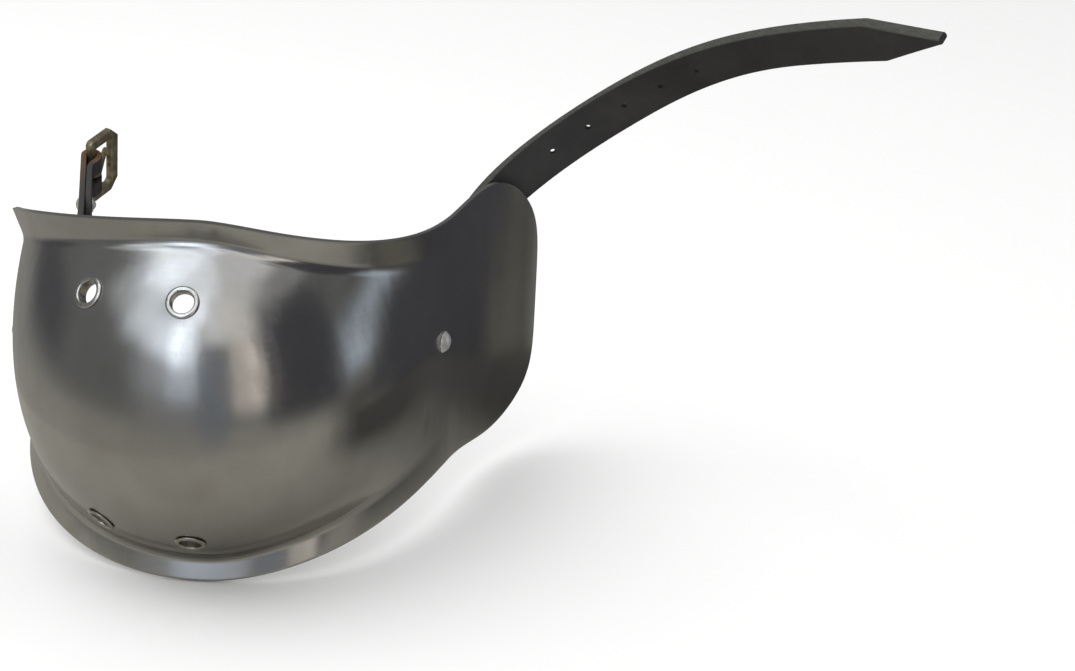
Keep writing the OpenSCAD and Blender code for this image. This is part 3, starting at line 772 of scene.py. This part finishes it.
def edgeBandsOf(strip):
    # where the cut edges lie round the unwrapped section
    around = len(stripSection(strip["width"], strip["thick"], strip["corner"]))
    quarter = facePoints + cornerPoints
    first = (facePoints + 1.5) / around
    last = (2 * quarter - 1 - facePoints - 1.5) / around
    return ((first, last), (1 - last, 1 - first))


strap = {
    "width": 15.0,
    "thick": clamped["strapThick"],
    "length": 242.0,
    "tip": 25.0,
    "tipWidth": 2.0,
    "swing": 31.2,
    "bends": (-10.2, 7.1, 12.8, 8.9, 4.6, 6.5, 4.9, 1.6, 1.0, -0.1),   # degrees in 10 mm, as are the twists
    "twists": (3.2, 6.3, -4.1, 1.7, -1.9),
    "rivetHole": 1.7,
    "holes": 5,
    "firstHole": 85.3,
    "holeStep": 14.6,
    "holeRadius": 1.0,
    "corner": 0.7,
    "steps": 264,
}
degreesPerCm = math.pi / 180 / 10

s, z = strapRivetAt
strapOut = planOut(s)
strapDepth = sheet["thickness"] + clamped["strapGap"] + strap["thick"] / 2
strapFoot = startStrip(outerFace(s, z) - strapOut * strapDepth, planAlong(s), strapOut, math.radians(strap["swing"]))
strapStep = strap["length"] / strap["steps"]
strapBends = evenly(strap["bends"], strap["steps"]) * degreesPerCm
strapTwists = evenly(strap["twists"], strap["steps"]) * degreesPerCm
strapFrames = runStrip(strapFoot, strapStep, strapBends, strapTwists)
heel = roundEnd(strap["width"] / 2)[::-1]
strapLength = np.arange(strap["steps"] + 1) * strapStep
tipShare = np.clip((strapLength - strap["length"] + strap["tip"]) / strap["tip"], 0, 1)
strapWidths = strap["width"] - (strap["width"] - strap["tipWidth"]) * tipShare
longStrap = makeStrip("longStrap", [backOff(strapFoot, d) for d in heel] + strapFrames,
                      list(endWidths(heel, strap["width"] / 2)) + list(strapWidths), strap["thick"], strap["corner"])


def stripPlace(strip):
    place, along, out, across = strip
    return frameMatrix((place + shift) * mm, along, across, np.cross(along, across))


def punch(piece, strip, radius, depth=10.0):
    clearSelection()
    bpy.ops.mesh.primitive_cylinder_add(vertices=32, radius=radius * mm, depth=depth * mm)
    cutter = namePiece("punch")
    settle(cutter, stripPlace(strip))
    cutWith(piece, cutter)


punch(longStrap, strapFoot, strap["rivetHole"])
for k in range(strap["holes"]):
    holeAt = strap["firstHole"] + k * strap["holeStep"]
    punch(longStrap, strapFrames[int(round(holeAt / strapStep))], strap["holeRadius"])
tidyMesh(longStrap, 0.0000005, math.radians(40))
strapMaterial = strapLeather("strapLeather", leatherLook, edgeBandsOf(strap))
finishPiece(longStrap, "strap", "strap_leather", strapMaterial, "long_strap")
print("long strap made")

chape = {
    "width": 15.0,
    "thick": clamped["chapeThick"],
    "length": 90.0,
    "flatFoot": 6.0,
    "flap": 30.0,
    "flapPast": 4.0,   # the flap ends past the straight part
    "rivetBack": 20.0,
    "swing": 16.2,
    "bends": (0.0, -14.2, -0.2, 12.0, 0.0),
    "twists": (0.0, 0.0, 0.2, 2.2, 0.0),
    "rivetHole": 1.7,
    "foldHole": 1.15,
    "slotWidth": 3.4,
    "slotBack": 7.0,
    "slotAhead": 8.0,
    "cutDepth": 16.0,   # through both layers
    "foldGap": 0.15,
    "backRadius": 6.0,
    "corner": 0.45,
    "wornFrom": 0.03,
    "wornTo": 0.34,
    "steps": 36,
    "straightSteps": 8,
    "foldSteps": 32,
    "backSteps": 10,
    "flapSteps": 5,
}
bar = {"radius": 1.5, "gap": 0.1}

s, z = chapeRivetAt
chapeOut = planOut(s)
chapeDepth = sheet["thickness"] + clamped["chapeGap"] + chape["thick"] / 2
chapeFoot = startStrip(outerFace(s, z) - chapeOut * chapeDepth, -planAlong(s), chapeOut, math.radians(chape["swing"]))
straight = chape["flap"] - chape["flapPast"]
bendTo = chape["length"] - straight
chapeStep = bendTo / chape["steps"]
chapeMiddle = (np.arange(chape["steps"]) + 0.5) * chapeStep
foot = chape["flatFoot"]
knots = [0, foot, foot + (bendTo - foot) / 3, foot + 2 * (bendTo - foot) / 3, bendTo]
chapeBends = np.interp(chapeMiddle, knots, chape["bends"]) * degreesPerCm
chapeTwists = np.interp(chapeMiddle, knots, chape["twists"]) * degreesPerCm
chapeRun = runStrip(chapeFoot, chapeStep, chapeBends, chapeTwists)
chapeEnd = backOff(chapeRun[-1], -straight)
foldRadius = bar["radius"] + bar["gap"] + chape["thick"] / 2
foldCount = chape["foldSteps"]
foldRun = runStrip(chapeEnd, math.pi * foldRadius / foldCount, [-1 / foldRadius] * foldCount, [0] * foldCount)
backIn = 2 * foldRadius - chape["thick"] - chape["foldGap"]   # how far the flap comes back to the strap
backTurn = math.acos(1 - backIn / (2 * chape["backRadius"]))
backCount = chape["backSteps"]
backStep = chape["backRadius"] * backTurn / backCount
backRunA = runStrip(foldRun[-1], backStep, [-1 / chape["backRadius"]] * backCount, [0] * backCount)
backRunB = runStrip(backRunA[-1], backStep, [1 / chape["backRadius"]] * backCount, [0] * backCount)
flapLeft = chape["flap"] - 2 * chape["backRadius"] * math.sin(backTurn) - chape["width"] / 2
flapEnd = roundEnd(chape["width"] / 2)
straightSteps, flapSteps = chape["straightSteps"], chape["flapSteps"]
chapeFrames = ([backOff(chapeFoot, d) for d in heel] + chapeRun
               + [backOff(chapeRun[-1], -straight * k / straightSteps) for k in range(1, straightSteps + 1)]
               + foldRun[1:] + backRunA[1:] + backRunB[1:]
               + [backOff(backRunB[-1], -flapLeft * k / flapSteps) for k in range(1, flapSteps + 1)]
               + [backOff(backRunB[-1], -flapLeft - d) for d in flapEnd])
plainCount = len(chapeFrames) - len(heel) - len(flapEnd)
chapeHalf = chape["width"] / 2
chapeWidths = (list(endWidths(heel, chapeHalf)) + [chape["width"]] * plainCount
               + list(endWidths(flapEnd, chapeHalf)))
buckleStrap = makeStrip("buckleStrap", chapeFrames, chapeWidths, chape["thick"], chape["corner"])
punch(buckleStrap, chapeFoot, chape["rivetHole"])
foldRivetFrame = backOff(chapeEnd, chape["rivetBack"])
punch(buckleStrap, foldRivetFrame, chape["foldHole"], chape["cutDepth"])
barPlace = chapeEnd[0] - foldRadius * chapeEnd[2]
barStrip = (barPlace, chapeEnd[1], chapeEnd[2], chapeEnd[3])
clearSelection()
bpy.ops.mesh.primitive_cube_add(
    size=1, location=((chape["slotAhead"] - chape["slotBack"]) / 2 * mm, 0, 0),
    scale=((chape["slotBack"] + chape["slotAhead"]) * mm, chape["slotWidth"] * mm, chape["cutDepth"] * mm))
slotCutter = namePiece("slotCutter")
settle(slotCutter)
settle(slotCutter, stripPlace(barStrip))
cutWith(buckleStrap, slotCutter)
tidyMesh(buckleStrap, 0.0000005, math.radians(40))
foldAt = (len(heel) + len(chapeRun) + straightSteps) / (len(chapeFrames) - 1)
chapeMaterial = strapLeather("chapeLeather", leatherLook, edgeBandsOf(chape),
                             foldAt - chape["wornFrom"], foldAt + chape["wornTo"])
finishPiece(buckleStrap, "chape", "strap_leather", chapeMaterial, "buckle_strap")

foldStack = 2 * chape["thick"] + chape["foldGap"] + smallRivet["burrGap"]
foldRivetPlace = (stripPlace(foldRivetFrame) @ Matrix.Translation((0, 0, -chape["thick"] / 2 * mm))
                  @ Matrix.Rotation(math.pi, 4, "X"))
makeRivet("fold_rivet", "chape", foldRivetPlace, foldStack, smallRivet)
print("buckle strap made")

# the buckle, its bar and its prong

buckle = {
    "reach": 12.0,
    "outerBar": 4.0,
    "sideBar": 3.8,
    "thick": 2.6,
    "cut": 4.0,
    "backCut": 1.2,
    "plateBack": 0.4,   # behind the bar
    "windowCut": 1.0,
    "windowWidth": 18.6,
    "windowBack": 6.0,   # the window's cut runs out past the bar, which closes it
    "barShort": 3.0,
    "fold": 35.0,
    "edge": 0.5,
    "prong": 2.0,
    "prongLength": 15.5,
    "armThinner": 0.05,
    # share of the arm's radius, and distance from its end
    "prongTip": ((1.0, 2.5), (0.93, 1.4), (0.84, 0.7), (0.66, 0.25), (0.4, 0.06)),
}


def bevelUprights(piece, where, amount):
    # bevels the upright edges whose middle is picked by where(x)
    takeOnly(piece)
    bpy.ops.object.mode_set(mode="EDIT")
    bpy.ops.mesh.select_mode(type="EDGE")
    bpy.ops.mesh.select_all(action="DESELECT")
    bpy.ops.object.mode_set(mode="OBJECT")
    for edge in piece.data.edges:
        a, b = (piece.data.vertices[k].co for k in edge.vertices)
        edge.select = abs(a.z - b.z) > 0.0005 and where((a.x + b.x) / 2)
    bpy.ops.object.mode_set(mode="EDIT")
    bpy.ops.mesh.bevel(offset=amount * mm, segments=1, affect="EDGES")
    bpy.ops.object.mode_set(mode="OBJECT")


def block(name, x0, x1, half, thick):
    clearSelection()
    bpy.ops.mesh.primitive_cube_add(size=1, location=((x0 + x1) / 2 * mm, 0, 0),
                                    scale=((x1 - x0) * mm, 2 * half * mm, thick * mm))
    return settle(namePiece(name))


frameWidth = buckle["windowWidth"] + 2 * buckle["sideBar"]
plateFrom = -bar["radius"] - buckle["plateBack"]
plateTo = buckle["reach"] + buckle["outerBar"] / 2
buckleFrame = block("buckleFrame", plateFrom, plateTo, frameWidth / 2, buckle["thick"])
bevelUprights(buckleFrame, lambda x: x > 0, buckle["cut"])
bevelUprights(buckleFrame, lambda x: x < -0.0015, buckle["backCut"])
window = block("window", plateFrom - buckle["windowBack"], buckle["reach"] - buckle["outerBar"] / 2,
               buckle["windowWidth"] / 2, buckle["thick"] * 3)
bevelUprights(window, lambda x: x > 0, buckle["windowCut"])
cutWith(buckleFrame, window)
applied(buckleFrame, "BEVEL", width=buckle["edge"] * mm, segments=3, limit_method="ANGLE",
        angle_limit=math.radians(30))
clearSelection()
bpy.ops.mesh.primitive_cylinder_add(vertices=48, radius=bar["radius"] * mm, rotation=(math.pi / 2, 0, 0),
                                    depth=(frameWidth - buckle["barShort"]) * mm)
hingeBar = settle(namePiece("hingeBar"))
cutWith(buckleFrame, hingeBar, "UNION")
tidyMesh(buckleFrame, 0.000002, math.radians(30))
settle(buckleFrame, stripPlace(barStrip) @ Matrix.Rotation(math.radians(-buckle["fold"]), 4, "Y"))
finishPiece(buckleFrame, "frame", "buckle_brass", buckleBrass, "buckle_frame")

prongRing = bar["radius"] + bar["gap"] + buckle["prong"] / 2
clearSelection()
bpy.ops.mesh.primitive_torus_add(major_radius=prongRing * mm, minor_radius=buckle["prong"] / 2 * mm,
                                 major_segments=64, minor_segments=28, rotation=(math.pi / 2, 0, 0))
prong = settle(namePiece("buckleProng"))
armRadius = buckle["prong"] / 2 - buckle["armThinner"]
reach = buckle["prongLength"]
restX = buckle["reach"] - buckle["outerBar"] / 2
restZ = buckle["thick"] / 2 + buckle["prong"] / 2 + bar["gap"]
# the prong lies on the outer bar
prongRest = math.degrees(math.atan2(restZ, restX) + math.asin(prongRing / math.hypot(restX, restZ)))
tip = [(armRadius * share, reach - back) for share, back in buckle["prongTip"]]
armProfile = [(0, 0), (armRadius, 0)] + tip + [(0, reach)]
arm = turnPiece("prongArm", armProfile)
settle(arm, Matrix.Translation((0, 0, -prongRing * mm)) @ Matrix.Rotation(-math.pi / 2, 4, "Y"))
cutWith(prong, arm, "UNION")
tidyMesh(prong, 0.000002, math.radians(40))
settle(prong, stripPlace(barStrip) @ Matrix.Rotation(math.radians(180 + prongRest - buckle["fold"]), 4, "Y"))
finishPiece(prong, "prong", "buckle_brass", buckleBrass, "buckle_prong")
print("buckle made")

# floor, light and camera

studio = {
    "floor": (0.93, 0.93, 0.925, 1),
    "daylight": 0.82,
    "floorSize": 8,
    "floorPlace": (0, 0, -0.0002),
    "lamp": 9.0,
    "lampSize": 1.2,
    "lampPlace": (-0.55, -0.25, 1.25),
    "lampAim": (0.55, 0.25, -1.2),
    "cardColour": (0.33, 0.32, 0.288, 1),
    # painted shade for the card under the wing
    "cardPaintedShade": (0.065, 0.064, 0.062, 1),
    "cardRadius": 0.16,
    "cardPlace": (-0.04, -0.02, -0.0001),
    "tentRadius": 3.0,
    "tentPlace": (-0.06, -0.05, 0.07),
    "walls": (0.165, 0.168, 0.17, 1),
    # cards inside the tent: azimuth from the front towards the wing, height, their softness, colour
    "cards": (
        ((-200, 200, -100, -14), (4, 7), (0.315, 0.306, 0.278)),
        ((86, 200, -52, -13), (8, 6), (0.052, 0.052, 0.058)),
        ((92, 120, -48, -18), (6, 6), (0.14, 0.136, 0.118)),
        ((-200, -126, -18, 4), (8, 6), (0.27, 0.265, 0.25)),
        ((-122, -92, -6, 15), (8, 6), (0.09, 0.09, 0.10)),
        ((-38, 0, -17, 2), (7, 6), (0.26, 0.262, 0.27)),
        ((41, 86, -15, 46), (3, 8), (0.068, 0.068, 0.078)),
        ((88, 105, -5, 16), (5, 6), (0.52, 0.60, 0.71)),
        ((107, 200, -20, 14), (4, 5), (0.07, 0.07, 0.08)),
        ((18, 130, 52, 100), (10, 8), (0.74, 0.75, 0.77)),
        ((-34, 18, 58, 100), (6, 5), (1.18, 1.24, 1.36)),
        ((-104, -70, 60, 100), (7, 7), (1.4, 1.46, 1.55)),
        ((-72, -34, 46, 100), (7, 8), (1.64, 1.79, 2.02)),
        ((-78, -42, 33, 50), (8, 8), (0.55, 0.57, 0.61)),
        ((-58, -38, 27, 54), (6, 8), (1.0, 1.08, 1.2)),
        ((-42, -2, 3, 20), (8, 7), (0.38, 0.40, 0.44)),
        ((-21, -2, 1, 26), (4, 4), (0.64, 0.71, 0.84)),
        ((-40, -3, 23, 46), (7, 7), (1.13, 1.24, 1.42)),
        ((-24, -6, 22, 46), (4, 8), (1.8, 1.99, 2.3)),
        ((-20, -12, 24, 46), (2, 8), (2.4, 2.64, 3.0)),
        ((-38, -17, 47, 60), (4, 3), (0.42, 0.44, 0.48)),
        ((-12, 3, 44, 61), (3, 5), (1.75, 1.86, 2.1)),
        ((2, 20, 32, 58), (4, 5), (0.84, 0.86, 0.9)),
        ((1, 18, -24, 28), (3, 8), (0.20, 0.22, 0.26)),
        ((21, 39, -6, 58), (3, 8), (0.66, 0.615, 0.585)),
        ((18, 44, 36, 58), (4, 6), (0.9, 0.88, 0.88)),
        ((58, 130, 50, 61), (6, 4), (0.28, 0.28, 0.29)),
        ((32, 40, -2, 32), (2, 8), (1.0, 0.93, 0.88)),
    ),
}


def makeWorld():
    # white for what is seen, also in metal beyond the tent, and plain daylight on the object
    world = bpy.data.worlds.new("studio")
    world.use_nodes = True
    tree = world.node_tree
    tree.nodes.clear()
    wire = Wire(tree)
    seen = None
    for ray in ("Is Camera Ray", "Is Glossy Ray", "Is Transmission Ray"):
        part = wire.make("ShaderNodeLightPath", None, None, out=ray)
        seen = part if seen is None else wire.maths("MAXIMUM", seen, part)
    level = studio["daylight"]
    colour = wire.colourMix(seen, (level, level, level, 1), (1, 1, 1, 1))
    background = wire.make("ShaderNodeBackground", None, {"Color": colour, "Strength": 1.0})
    output = tree.nodes.new("ShaderNodeOutputWorld")
    tree.links.new(background.socket, output.inputs["Surface"])
    bpy.context.scene.world = world


def onlyInMetal(piece):
    # a card beside the set: it shows in the metal and nowhere else
    piece.visible_camera = False
    piece.visible_diffuse = False
    piece.visible_transmission = False
    piece.visible_volume_scatter = False
    piece.visible_shadow = False


def makeTent():
    clearSelection()
    bpy.ops.mesh.primitive_uv_sphere_add(segments=64, ring_count=32, radius=studio["tentRadius"])
    tent = namePiece("tent")
    tent.location = studio["tentPlace"]
    material, wire = newMaterial("tentCards")
    place = wire.make("ShaderNodeTexCoord", None, None, out="Object")
    x, y, z = [wire.make("ShaderNodeSeparateXYZ", None, {0: place}, out=axis) for axis in "XYZ"]
    degrees = 180 / math.pi
    azimuth = wire.maths("ARCTAN2", x, y * -1.0) * degrees
    height = wire.maths("ARCSINE", z * (1 / studio["tentRadius"])) * degrees
    light = studio["walls"]
    for (left, right, low, high), (softSide, softUp), colour in studio["cards"]:
        card = azimuth.inside(left, right, softSide) * height.inside(low, high, softUp)
        light = wire.colourMix(card, light, colour + (1,))
    finishMaterial(wire, wire.make("ShaderNodeEmission", None, {"Color": light, "Strength": 1.0}))
    tent.data.materials.append(material)
    onlyInMetal(tent)


def makeFloor():
    clearSelection()
    bpy.ops.mesh.primitive_plane_add(size=studio["floorSize"], location=studio["floorPlace"])
    floor = settle(namePiece("floor"))
    material, wire = newMaterial("paleFloor")
    finishMaterial(wire, wire.make("ShaderNodeBsdfDiffuse", None, {"Color": studio["floor"]}))
    floor.data.materials.append(material)
    floor.visible_glossy = False
    clearSelection()
    bpy.ops.mesh.primitive_circle_add(vertices=96, radius=studio["cardRadius"], fill_type="NGON",
                                      location=studio["cardPlace"])
    card = settle(namePiece("greyCard"))
    material, wire = newMaterial("greyCard")
    place = wire.make("ShaderNodeTexCoord", None, None, out="Object")
    x, y = [wire.make("ShaderNodeSeparateXYZ", None, {0: place}, out=axis) for axis in "XY"]
    # the card is painted darker under the wing: painted shade, which the wing shows as a dark reflection
    paintedShadeUnderWing = x.smooth(0.0, 0.06) * y.smooth(-0.10, -0.05)
    colour = wire.colourMix(paintedShadeUnderWing, studio["cardColour"], studio["cardPaintedShade"])
    finishMaterial(wire, wire.make("ShaderNodeBsdfDiffuse", None, {"Color": colour}))
    card.data.materials.append(material)
    onlyInMetal(card)


def makeLamp():
    data = bpy.data.lights.new("overhead", "AREA")
    data.size = studio["lampSize"]
    data.energy = studio["lamp"]
    lamp = bpy.data.objects.new("overhead", data)
    lamp.location = studio["lampPlace"]
    lamp.rotation_euler = Vector(studio["lampAim"]).to_track_quat("-Z", "Y").to_euler()
    lamp.visible_glossy = False
    bpy.context.scene.collection.objects.link(lamp)


camera = {
    "yaw": 0.733,
    "pitch": 22.894,
    "roll": -2.968,
    "offset": (-98.319, -31.152, 487.769),
    "focal": 1763.84,
    "width": 1075,
}


def makeCamera():
    yaw, pitch, roll = (math.radians(camera[key]) for key in ("yaw", "pitch", "roll"))
    toView = (Matrix(((math.cos(roll), -math.sin(roll), 0), (math.sin(roll), math.cos(roll), 0), (0, 0, 1)))
              @ Matrix(((1, 0, 0), (0, math.cos(pitch), -math.sin(pitch)), (0, math.sin(pitch), math.cos(pitch))))
              @ Matrix(((1, 0, 0), (0, 0, 1), (0, -1, 0)))
              @ Matrix(((math.cos(yaw), -math.sin(yaw), 0), (math.sin(yaw), math.cos(yaw), 0), (0, 0, 1))))
    back = toView.transposed()
    x, y, z = camera["offset"]
    place = back @ Vector((-x, -y, z))
    data = bpy.data.cameras.new("photoView")
    data.sensor_fit = "HORIZONTAL"
    data.sensor_width = 36
    data.lens = camera["focal"] / camera["width"] * 36
    data.clip_start = 0.01
    data.clip_end = 30
    view = bpy.data.objects.new("photoView", data)
    view.matrix_world = Matrix.Translation((place + Vector(shift)) * mm) @ back.to_4x4()
    bpy.context.scene.collection.objects.link(view)
    bpy.context.scene.camera = view


makeWorld()
makeTent()
makeFloor()
makeLamp()
makeCamera()
bpy.context.scene.view_settings.view_transform = "Standard"
print("stage made")
